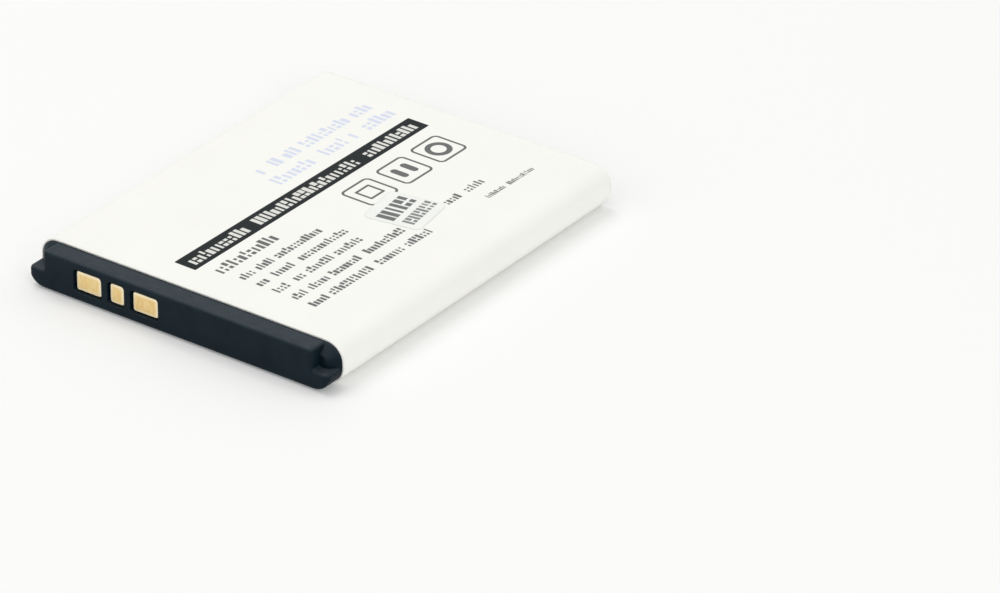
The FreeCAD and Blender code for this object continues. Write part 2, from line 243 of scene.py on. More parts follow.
class Nodes:
    """A node tree with short ways to add nodes and join them."""

    def __init__(self, tree):
        self.tree = tree

    def add(self, kind, inputs=None, **settings):
        node = self.tree.nodes.new(kind)
        for name, value in settings.items():
            setattr(node, name, value)
        for name, value in (inputs or {}).items():
            self.feed(node.inputs[name], value)
        return node

    def feed(self, socket, value):
        if isinstance(value, bpy.types.NodeSocket):
            self.tree.links.new(value, socket)
        else:
            socket.default_value = value

    def math(self, operation, first, second=0.0, third=0.0, clamp=False):
        node = self.add("ShaderNodeMath", operation=operation, use_clamp=clamp)
        for socket, value in zip(node.inputs, (first, second, third)):
            self.feed(socket, value)
        return node.outputs[0]

    def times(self, first, second, clamp=False):
        return self.math("MULTIPLY", first, second, clamp=clamp)

    def plus(self, first, second, clamp=False):
        return self.math("ADD", first, second, clamp=clamp)

    def minus(self, first, second, clamp=False):
        return self.math("SUBTRACT", first, second, clamp=clamp)

    def distance(self, first, second):
        """How far apart two values are."""
        return self.math("ABSOLUTE", self.minus(first, second))

    def least(self, first, *others):
        for other in others:
            first = self.math("MINIMUM", first, other)
        return first

    def most(self, first, *others):
        for other in others:
            first = self.math("MAXIMUM", first, other)
        return first

    def soft_edge(self, inside, softness):
        """A mask from how far inside an edge a place lies."""
        return self.plus(self.math("DIVIDE", inside, softness), 0.5, clamp=True)

    def more(self, base, value, share):
        """A base value and a share of another one."""
        return self.math("MULTIPLY_ADD", value, share, base)

    def between(self, mask, low, high):
        """A value that a mask moves from one end to the other."""
        return self.ramp(mask, 0.0, 1.0, low, high)

    def vector(self, operation, first, second=(0, 0, 0)):
        node = self.add("ShaderNodeVectorMath", operation=operation)
        self.feed(node.inputs[0], first)
        self.feed(node.inputs[1], second)
        return node.outputs["Vector"]

    def split(self, vector):
        return self.add("ShaderNodeSeparateXYZ", {"Vector": vector}).outputs

    def ramp(self, value, low, high, to_low=0.0, to_high=1.0):
        """A value mapped evenly from one range onto another, and held at its ends."""
        node = self.add("ShaderNodeMapRange", {
            "Value": value, "From Min": low, "From Max": high, "To Min": to_low, "To Max": to_high})
        return node.outputs["Result"]

    def mix(self, factor, one, two):
        """One colour laid over another by a mask."""
        node = self.add("ShaderNodeMix", data_type="RGBA")
        sockets = {socket.identifier: socket for socket in node.inputs}
        self.feed(sockets["Factor_Float"], factor)
        for name, value in (("A_Color", one), ("B_Color", two)):
            if not isinstance(value, bpy.types.NodeSocket) and len(value) == 3:
                value = (*value, 1.0)
            self.feed(sockets[name], value)
        return [s for s in node.outputs if s.identifier == "Result_Color"][0]

    def table(self, value, stops):
        """Constant values by place, from 0 to 1: a colour and its alpha for each stop."""
        node = self.add("ShaderNodeValToRGB", {"Fac": value})
        ramp = node.color_ramp
        ramp.interpolation = "CONSTANT"
        while len(ramp.elements) < len(stops):
            ramp.elements.new(1.0)
        for element, (position, values) in zip(ramp.elements, stops):
            element.position = position
            element.color = values
        return node.outputs

    def noise(self, vector, scale, detail=2.0, roughness=0.5):
        node = self.add("ShaderNodeTexNoise", {
            "Vector": vector, "Scale": scale, "Detail": detail, "Roughness": roughness})
        return node.outputs[0]

    def stretched(self, vector, stretch):
        return self.vector("MULTIPLY", vector, stretch)

    def joined(self, value):
        """One value as all three parts of a vector."""
        return self.add("ShaderNodeCombineXYZ", {"X": value, "Y": value, "Z": value}).outputs[0]

    def group(self, tree_name, **inputs):
        """A shared group whose inputs are named with _ for each space."""
        node = self.add("ShaderNodeGroup", node_tree=shared_group(tree_name))
        for name, value in inputs.items():
            self.feed(node.inputs[name.replace("_", " ")], value)
        return node.outputs

    def millimetres(self, turn=0.0, centre=(0, 0, 0)):
        """Object coordinates in millimetres, about a centre and turned about the upright."""
        place = self.add("ShaderNodeTexCoord").outputs["Object"]
        scaled = self.add("ShaderNodeMapping", {
            "Vector": place, "Scale": (1 / MM,) * 3, "Location": [-c for c in centre]})
        if not turn:
            return scaled.outputs["Vector"]
        turned = self.add("ShaderNodeMapping", {
            "Vector": scaled.outputs["Vector"], "Rotation": (0, 0, -turn)})
        return turned.outputs["Vector"]


def new_group(name, inputs, outputs):
    """An empty shader node group with float or vector inputs and float outputs."""
    tree = bpy.data.node_groups.new(name, "ShaderNodeTree")
    for label, default in inputs.items():
        kind = "NodeSocketVector" if isinstance(default, tuple) else "NodeSocketFloat"
        socket = tree.interface.new_socket(name=label, in_out="INPUT", socket_type=kind)
        socket.default_value = default
    for label in outputs:
        tree.interface.new_socket(name=label, in_out="OUTPUT", socket_type="NodeSocketFloat")
    nodes = Nodes(tree)
    given = nodes.add("NodeGroupInput").outputs
    results = nodes.add("NodeGroupOutput").inputs
    return nodes, given, results


def rounded_field_group():
    """A rounded rectangle, and its outline, as masks. Sizes in millimetres."""
    nodes, given, results = new_group("Rounded Field", {
        "Across": 0.0, "Along": 0.0, "Half Width": 1.0, "Half Length": 1.0,
        "Corner Radius": 0.2, "Line Width": 0.2, "Softness": 0.05}, ("Field", "Outline"))
    reach = []
    for place, half in (("Across", "Half Width"), ("Along", "Half Length")):
        beyond = nodes.minus(nodes.math("ABSOLUTE", given[place]), given[half])
        reach.append(nodes.plus(beyond, given["Corner Radius"]))
    outer = [nodes.most(value, 0.0) for value in reach]
    squares = [nodes.times(value, value) for value in outer]
    corner = nodes.math("SQRT", nodes.plus(*squares))
    inner = nodes.least(nodes.most(*reach), 0.0)
    inside = nodes.minus(given["Corner Radius"], nodes.plus(corner, inner))
    nodes.feed(results["Field"], nodes.soft_edge(inside, given["Softness"]))
    half_line = nodes.times(given["Line Width"], 0.5)
    in_line = nodes.minus(half_line, nodes.distance(inside, half_line))
    nodes.feed(results["Outline"], nodes.soft_edge(in_line, given["Softness"]))
    return nodes.tree


# Shares of a mark's height: how much lower a short one is, and where a split one is cut
SHORT_MARK_DROP = 0.26
CUT_PLACE = 0.1
CUT_HALF = 0.08


def mark_row_group():
    """A row of small plain blocks of mixed widths, in groups with a space between them."""
    nodes, given, results = new_group("Mark Row", {
        "Across": 0.0, "Along": 0.0, "Start": -10.0, "End": 10.0, "Height": 1.0, "Pitch": 0.45,
        "Gaps": (50.0, 50.0, 50.0), "Last Gap": 50.0, "Gap Length": 0.66, "Narrow": 0.22,
        "Wide": 0.42, "Short Share": 0.6, "Split Share": 0.3, "Seed": 0.0, "Softness": 0.07},
        ("Marks",))
    index = nodes.math("FLOOR", nodes.math("DIVIDE", given["Along"], given["Pitch"]))
    centre = nodes.times(nodes.plus(index, 0.5), given["Pitch"])
    chances = nodes.add("ShaderNodeTexWhiteNoise", {"W": nodes.plus(index, given["Seed"])},
                        noise_dimensions="1D")
    wide_chance, short_chance, split_chance = nodes.split(chances.outputs["Color"])
    share = nodes.more(given["Narrow"], wide_chance, nodes.minus(given["Wide"], given["Narrow"]))
    off_centre = nodes.distance(given["Along"], centre)
    from_side = nodes.minus(nodes.times(share, given["Pitch"]), off_centre)
    short = nodes.math("LESS_THAN", short_chance, given["Short Share"])
    top = nodes.math("MULTIPLY_ADD", short, SHORT_MARK_DROP, -0.5)
    from_top = nodes.minus(given["Across"], nodes.times(top, given["Height"]))
    from_foot = nodes.math("MULTIPLY_ADD", given["Height"], 0.5, nodes.times(given["Across"], -1.0))
    block = nodes.soft_edge(nodes.least(from_side, from_top, from_foot), given["Softness"])
    from_cut = nodes.math("ABSOLUTE", nodes.more(given["Across"], given["Height"], -CUT_PLACE))
    in_cut = nodes.minus(nodes.times(given["Height"], CUT_HALF), from_cut)
    cut = nodes.soft_edge(in_cut, given["Softness"])
    split = nodes.math("LESS_THAN", split_chance, given["Split Share"])
    block = nodes.times(block, nodes.minus(1.0, nodes.times(cut, split)))
    from_gaps = nodes.vector("SUBTRACT", given["Gaps"], nodes.joined(centre))
    nearest = nodes.least(nodes.distance(given["Last Gap"], centre),
                          *nodes.split(nodes.vector("ABSOLUTE", from_gaps)))
    in_group = nodes.math("GREATER_THAN", nearest, nodes.times(given["Gap Length"], 0.5))
    in_row = nodes.times(nodes.math("GREATER_THAN", centre, given["Start"]),
                        nodes.math("LESS_THAN", centre, given["End"]))
    nodes.feed(results["Marks"], nodes.times(block, nodes.times(in_row, in_group)))
    return nodes.tree


def surface_grain_group():
    """Fine moulded or coated grain: a height, a shade about one and a slow unevenness."""
    nodes, given, results = new_group("Surface Grain", {
        "Place": (0.0, 0.0, 0.0), "Grain Size": 0.2, "Patch Size": 4.0},
        ("Height", "Shade", "Patches"))
    fine, patches = (
        nodes.noise(given["Place"], nodes.math("DIVIDE", 1.0, given[size]), detail=3.0)
        for size in ("Grain Size", "Patch Size"))
    nodes.feed(results["Height"], fine)
    nodes.feed(results["Shade"], nodes.ramp(fine, 0.3, 0.7))
    nodes.feed(results["Patches"], nodes.ramp(patches, 0.3, 0.7))
    return nodes.tree


def edge_rub_group():
    """Where a piece's outer edges are rubbed, from the two corners of its box."""
    nodes, given, results = new_group("Edge Rub", {
        "Place": (0.0, 0.0, 0.0), "Low Corner": (0.0, 0.0, 0.0), "High Corner": (1.0, 1.0, 1.0),
        "Width": 0.4}, ("Rub",))
    low = nodes.vector("ABSOLUTE", nodes.vector("SUBTRACT", given["Place"], given["Low Corner"]))
    high = nodes.vector("ABSOLUTE", nodes.vector("SUBTRACT", given["High Corner"], given["Place"]))
    across, along, up = nodes.split(nodes.vector("MINIMUM", low, high))
    pairs = [nodes.plus(*pair) for pair in ((across, along), (along, up), (across, up))]
    nearest = nodes.least(*pairs)
    close = nodes.minus(1.0, nodes.math("DIVIDE", nearest, given["Width"]), clamp=True)
    patches = nodes.noise(given["Place"], scale=1.3, detail=4.0, roughness=0.65)
    nodes.feed(results["Rub"], nodes.times(close, nodes.ramp(patches, 0.35, 0.62)))
    return nodes.tree


def top_light_and_dust_group():
    """A lighter colour on upward faces: painted light from above, partly thin dust. Less of it
    where the Wiped input is high.
    """
    nodes, given, results = new_group("Top Light And Dust", {
        "Place": (0.0, 0.0, 0.0), "Normal": (0.0, 0.0, 1.0), "Wiped": 0.0, "Patch Size": 1.6},
        ("Dust And Top Light",))
    facing_up = nodes.ramp(nodes.split(given["Normal"])[2], 0.3, 0.96)
    patches = nodes.noise(given["Place"], nodes.math("DIVIDE", 1.0, given["Patch Size"]),
                          detail=4.0, roughness=0.6)
    patchy = nodes.ramp(patches, 0.3, 0.7, 0.78, 1.0)
    kept = nodes.minus(1.0, given["Wiped"])
    nodes.feed(results["Dust And Top Light"], nodes.times(nodes.times(facing_up, patchy), kept))
    return nodes.tree


# Each layer of scratches: its turn and its stretch. Then how high noise has to be to scratch
SCRATCH_LAYERS = ((0.35, (0.12, 5.0, 1.0)), (-0.9, (6.0, 0.10, 1.0)))
SCRATCH_LEVEL = 0.78
SCRATCH_REACH = 0.12
SCRATCH_SHARPNESS = 14.0


def fine_scratches_group():
    """Hair scratches in two directions as a mask."""
    nodes, given, results = new_group("Fine Scratches", {
        "Place": (0.0, 0.0, 0.0), "Density": 1.0, "Share": 0.5}, ("Scratches",))
    layers = []
    for turn, stretch in SCRATCH_LAYERS:
        turned = nodes.add("ShaderNodeMapping", {
            "Vector": given["Place"], "Rotation": (0, 0, turn)}).outputs["Vector"]
        value = nodes.noise(nodes.stretched(turned, stretch), given["Density"], detail=1.0)
        level = nodes.minus(SCRATCH_LEVEL, nodes.times(given["Share"], SCRATCH_REACH))
        layers.append(nodes.times(nodes.minus(value, level), SCRATCH_SHARPNESS, clamp=True))
    nodes.feed(results["Scratches"], nodes.most(*layers))
    return nodes.tree


def shaded(colour, share, lift=0.0):
    """A colour with each of its parts times one share, and lifted by one amount."""
    return tuple(value * share + lift for value in colour)


def new_material(name, **settings):
    """A material with its shader, whose even values are set on the shader's own sockets."""
    material = bpy.data.materials.new(name)
    material.use_nodes = True
    nodes = Nodes(material.node_tree)
    shader = material.node_tree.nodes["Principled BSDF"]
    for label, value in settings.items():
        nodes.feed(shader.inputs[label.replace("_", " ")], value)
    return material, nodes, shader


GROUP_MAKERS = {"Rounded Field": rounded_field_group, "Mark Row": mark_row_group,
                "Surface Grain": surface_grain_group, "Edge Rub": edge_rub_group,
                "Fine Scratches": fine_scratches_group, "Top Light And Dust": top_light_and_dust_group}


def shared_group(name):
    """A shader node group, built when it is first asked for."""
    if name not in bpy.data.node_groups:
        GROUP_MAKERS[name]()
    return bpy.data.node_groups[name]


def surface_grain(nodes, place, grain_size, patch_size):
    return nodes.group("Surface Grain", Place=place, Grain_Size=grain_size, Patch_Size=patch_size)


def edge_rub(nodes, place, low, high, width):
    return nodes.group("Edge Rub", Place=place, Low_Corner=tuple(low / MM),
                       High_Corner=tuple(high / MM), Width=width)["Rub"]


def near_ends(nodes, value, low, high, reach):
    """A mask of what lies within a reach of either end of a span."""
    off_middle = nodes.distance(value, (low + high) / 2 / MM)
    return nodes.math("GREATER_THAN", off_middle, (high - low) / 2 / MM - reach)


def finish_surface(nodes, shader, colour, roughness, height, depth, strength):
    """Joins a surface's colour, roughness and fine relief to its shader."""
    nodes.feed(shader.inputs["Base Color"], colour)
    nodes.feed(shader.inputs["Roughness"], roughness)
    bump = nodes.add("ShaderNodeBump", {"Height": height, "Distance": depth, "Strength": strength})
    nodes.feed(shader.inputs["Normal"], bump.outputs["Normal"])


# Print on the film, in millimetres: across the pack, along it

PRINT_TURN = math.radians(-0.6)
BAND_ACROSS, BAND_ALONG = -3.14, 1.1
BAND = {"Half_Width": 1.36, "Half_Length": 19.1, "Corner_Radius": 0.12}
SPLIT_ALONG = 5.0
# Each row: where its strip of the face ends, its middle, its start and end, and its height
PALE_ROWS = ((-10.8, 0, 0, 0, 0), (-8.2, -9.55, 1.4, 20.1, 1.6), (-5.5, -6.85, 0.6, 20.2, 1.7))
BAND_ROW = ((-1.5, -3.14, -17.2, 19.3, 1.5),)
NEAR_ROWS = PALE_ROWS + BAND_ROW + (
    (1.5, 0.15, -16.9, -7.8, 1.55), (3.9, 2.85, -16.9, -4.1, 1.1), (6.1, 5.0, -16.9, -2.5, 1.1),
    (8.3, 7.2, -16.9, -3.0, 1.1), (10.6, 9.45, -16.9, 0.9, 1.1), (13.5, 11.75, -16.9, 2.4, 1.1))
FAR_ROWS = PALE_ROWS + BAND_ROW + (
    (8.3, 0, 0, 0, 0), (10.9, 9.65, 7.9, 13.8, 1.05), (13.5, 12.25, 11.4, 19.2, 0.65))
# The spaces in each row: where its strip of the face ends, and their places along the pack
ROW_GAPS = ((-10.8, 0, 0, 0, 0), (-8.2, 2.9, 5.6, 8.4, 16.4), (-5.5, 7.9, 12.8, 14.9, 14.9),
            (-1.5, -7.5, 10.4, 10.4, 10.4), (1.5, 15, 15, 15, 15), (3.9, -14.3, -11.4, 15, 15),
            (6.1, -14.6, -10.6, 15, 15), (8.3, -14.2, -11.8, -7.4, 15),
            (10.7, -14.5, -11.0, -5.6, 10.7), (13.5, -13.9, -6.6, -1.7, 14.6))
TABLE_REACH = 40.0
HEIGHT_REACH = 4.0
LEAST_HEIGHT = 0.2
PITCH_SHARE = 0.46
GAP_SHARE = 0.66

# Three frames, and in each a sign: its half width, half length, corner radius and line width
FRAME_FIRST = 5.2
FRAME_STEP = 5.75
FRAME_ACROSS = 2.1
FRAME = {"Half_Width": 2.25, "Half_Length": 2.25, "Corner_Radius": 0.7, "Line_Width": 0.29}
SIGNS = ((1.15, 1.15, 0.15, 0.3), (1.1, 0.42, 0.42, 0.9), (1.45, 1.45, 1.45, 0.62))
BAR_SIGN = 1.0
BAR_SHIFT = 0.8


def table_share(length):
    """A length, from half the table's reach below zero to half above, as a share of it."""
    return (length + TABLE_REACH / 2) / TABLE_REACH


def strip_table(nodes, across, strips, last_reach):
    """Values by place across the face: three lengths and a last one that has its own reach."""
    stops = []
    begin = -TABLE_REACH / 2
    for strip_end, *lengths, last in strips:
        values = [table_share(value) for value in lengths]
        stops.append((table_share(begin), (*values, last / last_reach)))
        begin = strip_end
    stops.append((table_share(begin), (0, 0, 0, 0)))
    return nodes.table(nodes.math("MULTIPLY_ADD", across, 1 / TABLE_REACH, 0.5), stops)


def table_lengths(nodes, colour):
    """The three lengths that a strip table gives, in millimetres, as a vector."""
    scaled = nodes.vector("SCALE", nodes.vector("SUBTRACT", colour, (0.5, 0.5, 0.5)))
    scaled.node.inputs["Scale"].default_value = TABLE_REACH
    return scaled


def print_rows(nodes, across, along):
    """All rows of marks on the face as one mask."""
    near, far = (strip_table(nodes, across, rows, HEIGHT_REACH) for rows in (NEAR_ROWS, FAR_ROWS))
    is_far = nodes.math("GREATER_THAN", along, SPLIT_ALONG)
    lengths = table_lengths(nodes, nodes.mix(is_far, near["Color"], far["Color"]))
    middle, first, last = nodes.split(lengths)
    height = nodes.times(near["Alpha"], nodes.minus(1.0, is_far))
    height = nodes.math("MULTIPLY_ADD", far["Alpha"], is_far, height)
    height = nodes.most(nodes.times(height, HEIGHT_REACH), LEAST_HEIGHT)
    gaps = strip_table(nodes, across, ROW_GAPS, TABLE_REACH)
    return nodes.group("Mark Row", Across=nodes.minus(across, middle), Along=along,
                       Start=first, End=last, Height=height,
                       Pitch=nodes.times(height, PITCH_SHARE),
                       Gaps=table_lengths(nodes, gaps["Color"]),
                       Last_Gap=nodes.times(gaps["Alpha"], TABLE_REACH),
                       Gap_Length=nodes.times(height, GAP_SHARE),
                       Seed=nodes.math("FLOOR", nodes.times(middle, 10.0)))["Marks"]


def print_signs(nodes, across, along):
    """Three rounded frames and the plain sign in each: an open square, two bars and a ring."""
    steps = nodes.math("DIVIDE", nodes.minus(along, FRAME_FIRST), FRAME_STEP)
    index = nodes.least(nodes.most(nodes.math("ROUND", steps), 0.0), len(SIGNS) - 1.0)
    local = nodes.times(nodes.minus(steps, index), FRAME_STEP)
    beside = nodes.minus(across, FRAME_ACROSS)
    frames = nodes.group("Rounded Field", Across=beside, Along=local, **FRAME)["Outline"]
    stops = [(number / len(SIGNS), tuple(value / HEIGHT_REACH for value in sizes))
             for number, sizes in enumerate(SIGNS)]
    table = nodes.table(nodes.math("MULTIPLY_ADD", index, 1 / len(SIGNS), 0.5 / len(SIGNS)), stops)
    scaled = nodes.vector("SCALE", table["Color"])
    scaled.node.inputs["Scale"].default_value = HEIGHT_REACH
    half_width, half_length, corner = nodes.split(scaled)
    is_bars = nodes.math("COMPARE", index, BAR_SIGN, 0.1)
    folded = nodes.minus(nodes.math("ABSOLUTE", local), nodes.times(is_bars, BAR_SHIFT))
    signs = nodes.group("Rounded Field", Across=beside, Along=folded,
                        Half_Width=half_width, Half_Length=half_length, Corner_Radius=corner,
                        Line_Width=nodes.times(table["Alpha"], HEIGHT_REACH))["Outline"]
    return frames, signs


# Finishes. A layer's cover is the share of what lies below that it hides
PRINT_DEPTH = 0.3
PALE_COVER, SMALL_COVER, SIGN_COVER, BAND_COVER, LIGHT_COVER = 0.85, 0.9, 0.9, 1.0, 0.8
WORN_FILM, WORN_FILM_COVER = (0.55, 0.56, 0.56), 0.22
STICKER_TURN = math.radians(8.5)
# The sticker's two rows of marks: the cover and the place of each, and what its group is given
STICKER_ROWS = (
    (0.9, -0.95, {"Start": -2.7, "End": 2.5, "Height": 2.1, "Pitch": 0.86, "Split_Share": 0.35,
                  "Seed": 5.0}),
    (0.8, 1.55, {"Start": -2.5, "End": 2.7, "Height": 1.4, "Pitch": 0.58, "Seed": 9.0}))
STICKER_FIELD = {"Half_Width": 3.3, "Half_Length": 3.05, "Corner_Radius": 0.8,
                 "Line_Width": 0.1, "Softness": 0.1}
# Painted shade along the sticker's edge: its grey and its cover
STICKER_EDGE_SHADE, STICKER_EDGE_SHADE_COVER = (0.5, 0.54, 0.5), 0.25
# Band near the caps' edges where the lighter upward colour, painted light and partly dust, is
# thinned: its width and share
THINNED_EDGE_WIDTH, THINNED_EDGE_SHARE = 2.2, 0.45
DULL_GOLD_SHARES = (0.93, 0.86, 0.74)
# Pale gold for the wipe marks and for the pale edges, which are a painted highlight, partly wear;
# then the cover of each
PALE_GOLD, WIPED_COVER, WORN_AND_HIGHLIT_GOLD_COVER = (1.0, 0.91, 0.70), 0.38, 0.7
GOLD_EDGE = 0.32
RESIST, RESIST_LIGHT, TRACK = (0.012, 0.10, 0.045), (0.018, 0.13, 0.06), (0.05, 0.22, 0.09)
BOARD_CORE, RESIST_THICKNESS = (0.42, 0.40, 0.22), 0.04
EPOXY, EPOXY_LIGHT = (0.016, 0.016, 0.018), (0.026, 0.026, 0.028)
BODY_TIN, BODY_TERMINAL = (0.62, 0.61, 0.58), 0.62
CHIP_TIN, CHIP_TERMINAL = (0.68, 0.67, 0.64), 0.3


def printed_film_material(colours):
    """White film with its print: a dark band, rows of plain marks and three framed signs."""
    material, nodes, shader = new_material("Printed Film", Specular_IOR_Level=0.08)
    place = nodes.millimetres()
    on_face = nodes.math("GREATER_THAN", nodes.split(place)[2], FILM_HIGH.z / MM - PRINT_DEPTH)
    across, along, _ = nodes.split(nodes.millimetres(PRINT_TURN))
    marks = nodes.times(print_rows(nodes, across, along), on_face)
    pale = nodes.times(marks, nodes.math("LESS_THAN", across, PALE_ROWS[-1][0]))
    small = nodes.times(marks, nodes.math("GREATER_THAN", across, BAND_ROW[0][0]))
    light = nodes.minus(marks, nodes.plus(pale, small))
    frames, signs = (nodes.times(part, on_face) for part in print_signs(nodes, across, along))
    small = nodes.most(small, frames)
    band = nodes.group("Rounded Field", Across=nodes.minus(across, BAND_ACROSS),
                       Along=nodes.minus(along, BAND_ALONG), **BAND)["Field"]
    band = nodes.times(band, on_face)

    grain = surface_grain(nodes, place, grain_size=0.35, patch_size=6.0)
    rub = edge_rub(nodes, place, FILM_LOW, FILM_HIGH, width=0.5)
    colour = nodes.mix(grain["Patches"], colours.film, shaded(colours.film, 0.985))
    for layer, cover, ink in ((pale, PALE_COVER, colours.pale_ink),
                              (small, SMALL_COVER, colours.grey_ink),
                              (signs, SIGN_COVER, colours.grey_ink),
                              (band, BAND_COVER, colours.dark_ink),
                              (light, LIGHT_COVER, colours.film),
                              (rub, WORN_FILM_COVER, WORN_FILM)):
        colour = nodes.mix(nodes.times(layer, cover), colour, ink)
    scratches = nodes.group("Fine Scratches", Place=place, Share=0.4)["Scratches"]
    rough = nodes.more(nodes.between(grain["Patches"], 0.34, 0.44), scratches, 0.08)
    rough = nodes.more(rough, band, -0.06)
    ink = nodes.most(nodes.minus(band, light), small, pale)
    height = nodes.more(nodes.times(grain["Height"], 0.5), ink, 0.25)
    height = nodes.more(height, scratches, -0.2)
    finish_surface(nodes, shader, colour, rough, height, depth=0.012 * MM, strength=0.6)
    return material


def sticker_material(colours):
    """Small satin sticker with two rows of plain marks, and painted shade along its edge."""
    material, nodes, shader = new_material("Sticker Paper", Specular_IOR_Level=0.2)
    centre = (STICKER_LOW + STICKER_HIGH) / 2 / MM
    place = nodes.millimetres()
    across, along, _ = nodes.split(nodes.millimetres(STICKER_TURN, (centre.x, centre.y, 0)))
    grain = surface_grain(nodes, place, grain_size=0.25, patch_size=2.0)
    colour = nodes.mix(grain["Patches"], colours.sticker, shaded(colours.sticker, 0.97))
    for cover, middle, row in STICKER_ROWS:
        marks = nodes.group("Mark Row", Across=nodes.minus(across, middle), Along=along,
                            Short_Share=0.0, **row)["Marks"]
        colour = nodes.mix(nodes.times(marks, cover), colour, colours.grey_ink)
    # A thin grey outline round the sticker: painted shade along its edge.
    edge = nodes.group("Rounded Field", Across=across, Along=along, **STICKER_FIELD)["Outline"]
    colour = nodes.mix(nodes.times(edge, STICKER_EDGE_SHADE_COVER), colour, STICKER_EDGE_SHADE)
    rough = nodes.between(grain["Patches"], 0.3, 0.42)
    finish_surface(nodes, shader, colour, rough, grain["Height"], depth=0.01 * MM, strength=0.5)
    return material


def moulded_plastic_material(name, node, colours):
    """Black moulded plastic with a fine spark-eroded grain and rubbed edges. Upward faces are
    lighter: painted light from above, partly thin dust.
    """
    material, nodes, shader = new_material(name, Specular_IOR_Level=0.1)
    low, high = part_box(node)
    place = nodes.millimetres()
    grain = surface_grain(nodes, place, grain_size=0.11, patch_size=3.0)
    rub = edge_rub(nodes, place, low, high, width=0.5)
    colour = nodes.mix(grain["Patches"], colours.plastic,
                       shaded(colours.plastic, 1.35, lift=0.002))
    colour = nodes.mix(nodes.times(rub, 0.5), colour, shaded(colours.plastic, 2.6, lift=0.01))
    # Upward faces are made lighter: painted light from above, partly thin dust, thinned within a
    # band near the box's edges.
    thinned_near_edges = edge_rub(nodes, place, low, high, width=THINNED_EDGE_WIDTH)
    dust_and_top_light = nodes.group("Top Light And Dust", Place=place,
                       Normal=nodes.add("ShaderNodeTexCoord").outputs["Normal"],
                       Wiped=nodes.times(thinned_near_edges, THINNED_EDGE_SHARE))["Dust And Top Light"]
    colour = nodes.mix(dust_and_top_light, colour, colours.dust_and_top_light)
    rough = nodes.more(nodes.between(grain["Shade"], 0.40, 0.52), rub, -0.12)
    finish_surface(nodes, shader, colour, rough, grain["Height"], depth=0.02 * MM, strength=0.8)
    return material


def gold_plate_material(name, node, colours):
    """Satin gold plating with upright wipe marks from a spring contact, and pale edges: a painted
    highlight along the rolled edges, partly wear.
    """
    material, nodes, shader = new_material(name, Metallic=1.0)
    low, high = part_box(node)
    place = nodes.millimetres()
    grain = surface_grain(nodes, place, grain_size=0.06, patch_size=1.2)
    wipes = nodes.noise(nodes.stretched(place, (4.5, 1.0, 1.3)), scale=1.0, detail=4.0,
                        roughness=0.6)
    wiped = nodes.ramp(wipes, 0.48, 0.75)
    dull = tuple(value * share for value, share in zip(colours.gold, DULL_GOLD_SHARES))
    across, _, up = nodes.split(place)
    middle, half = (low + high) / 2 / MM, (high - low) / 2 / MM
    field = nodes.group("Rounded Field", Across=nodes.minus(across, middle.x),
                        Along=nodes.minus(up, middle.z), Half_Width=half.x - GOLD_EDGE,
                        Half_Length=half.z - GOLD_EDGE, Corner_Radius=0.2,
                        Softness=0.25)["Field"]
    colour = nodes.mix(grain["Patches"], colours.gold, dull)
    colour = nodes.mix(nodes.times(wiped, WIPED_COVER), colour, PALE_GOLD)
    # Pale edges: a painted highlight along the plate's rolled edges, partly wear.
    worn_and_highlit_edge = nodes.times(nodes.minus(1.0, field), WORN_AND_HIGHLIT_GOLD_COVER)
    colour = nodes.mix(worn_and_highlit_edge, colour, PALE_GOLD)
    rough = nodes.more(nodes.between(grain["Patches"], 0.42, 0.52), wiped, -0.08)
    height = nodes.more(nodes.times(grain["Height"], 0.4), wipes, 0.6)
    finish_surface(nodes, shader, colour, rough, height, depth=0.008 * MM, strength=0.7)
    return material


def drawn_metal_material(name, colour, grain_along, roughness, spots=None):
    """Bare metal with fine lines along one axis and, on strips, round weld dimples."""
    material, nodes, shader = new_material(name, Metallic=1.0)
    place = nodes.millimetres()
    stretch = [7.0, 7.0, 7.0]
    stretch[grain_along] = 0.25
    lines = nodes.noise(nodes.stretched(place, stretch), scale=1.0, detail=3.0)
    grain = surface_grain(nodes, place, grain_size=0.3, patch_size=3.0)
    base = nodes.mix(nodes.ramp(lines, 0.35, 0.65), colour, shaded(colour, 0.82))
    height = nodes.times(lines, 0.5)
    if spots:
        dimples = nodes.add("ShaderNodeTexVoronoi", {
            "Vector": nodes.stretched(place, (1.0, 0.0, 1.0)), "Scale": spots,
            "Randomness": 0.0}).outputs["Distance"]
        dimple = nodes.ramp(dimples, 0.18, 0.26, 1.0, 0.0)
        base = nodes.mix(nodes.times(dimple, 0.5), base, shaded(colour, 0.5))
        height = nodes.more(height, dimple, -3.0)
    rough = nodes.between(grain["Patches"], roughness - 0.05, roughness + 0.07)
    finish_surface(nodes, shader, base, rough, height, depth=0.01 * MM, strength=0.7)
    return material


